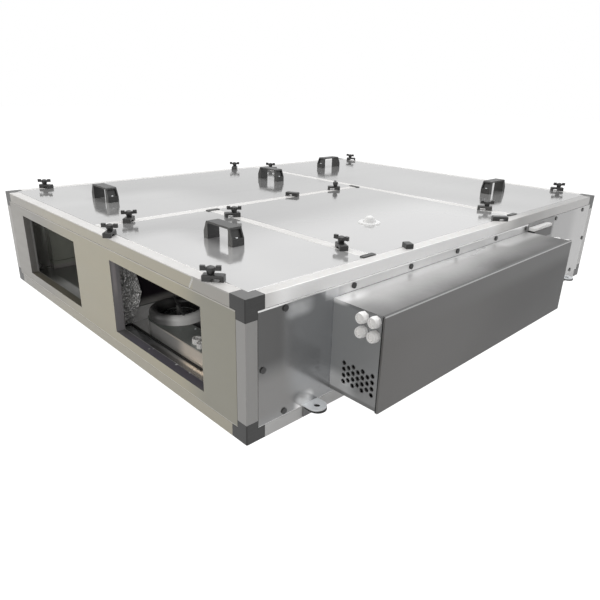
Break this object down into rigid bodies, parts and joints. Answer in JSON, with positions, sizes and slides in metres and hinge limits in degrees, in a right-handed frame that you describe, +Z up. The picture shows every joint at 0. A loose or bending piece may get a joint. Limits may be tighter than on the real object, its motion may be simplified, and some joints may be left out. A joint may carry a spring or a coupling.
{
  "type": "low-profile air handling unit",
  "caption": "Low-profile ceiling air handling unit: aluminium profile frame, lift-off top panels with hand clamps, duct openings, fans and a side control box.",
  "frame": {"origin": "centre of the casing's underside", "axes": "+Z up, +Y along the long side, -Y the face of the front duct openings, +X the side with the control box"},
  "size_m": [1.5257, 1.7229, 0.366],
  "materials": {
    "aluminium_profile": "natural extruded aluminium, satin",
    "black_plastic": "moulded black nylon, fine grain",
    "panel_front": "galvanised sheet with a warm grey cast",
    "panel_side": "galvanised sheet",
    "panel_top": "bright galvanised sheet, glossy",
    "port_plastic": "off-white plastic",
    "box_sheet": "galvanised sheet",
    "cover_sheet": "galvanised sheet, darker",
    "white_plastic": "off-white nylon",
    "zinc_steel": "zinc plated steel",
    "rubber_pad": "black rubber",
    "inner_sheet": "galvanised sheet, in shade",
    "foil": "creased aluminium foil",
    "bright_ring": "spun galvanised ring, bright",
    "motor_metal": "black coated metal",
    "impeller_metal": "galvanised blades"
  },
  "bodies": {
    "casing": {"access_panel_back": "panel_top", "access_panel_fan": "panel_top", "access_panel_left": "panel_top", "access_panel_middle": "panel_top", "back_panel": "panel_front", "bottom_panel": "panel_side", "bottom_rails": "aluminium_profile", "cable_glands": "white_plastic", "clamp_knobs": "black_plastic", "connector_block": "black_plastic", "connector_strip": "white_plastic", "control_box": "box_sheet", "control_box_cover": "cover_sheet", "corner_pieces": "black_plastic", "corner_posts": "aluminium_profile", "deck_bushings": "white_plastic", "divider_inserts": "black_plastic", "edge_clips": "black_plastic", "exchanger_casing": "inner_sheet", "fan_scroll_back": "inner_sheet", "fan_scroll_front": "inner_sheet", "floor_gaskets": "rubber_pad", "foil_lining_back": "foil", "foil_lining_front": "foil", "front_panel": "panel_front", "hanging_lugs": "zinc_steel", "inlet_ring_back": "bright_ring", "inlet_ring_front": "bright_ring", "left_panel": "panel_side", "lift_handle_1": "black_plastic", "lift_handle_2": "black_plastic", "lift_handle_3": "black_plastic", "lift_handle_4": "black_plastic", "lift_handle_5": "black_plastic", "lug_pads": "rubber_pad", "motor_bracket_back": "motor_metal", "motor_bracket_front": "motor_metal", "panel_clamps": "black_plastic", "partition_back": "inner_sheet", "partition_front": "inner_sheet", "right_panel": "panel_side", "service_port": "port_plastic", "side_panel_caps": "black_plastic", "top_dividers": "aluminium_profile", "top_rails": "aluminium_profile"},
    "fan_front": {"impeller_front": "impeller_metal"},
    "fan_back": {"impeller_back": "impeller_metal"}
  },
  "joints": [
    {"name": "fan_front_spin", "type": "hinge", "parent": "casing", "child": "fan_front", "pos_m": [0.147, -0.679, 0.04], "axis": [0, 0, 1], "continuous": true},
    {"name": "fan_back_spin", "type": "hinge", "parent": "casing", "child": "fan_back", "pos_m": [-0.147, 0.679, 0.04], "axis": [0, 0, 1], "continuous": true}
  ]
}
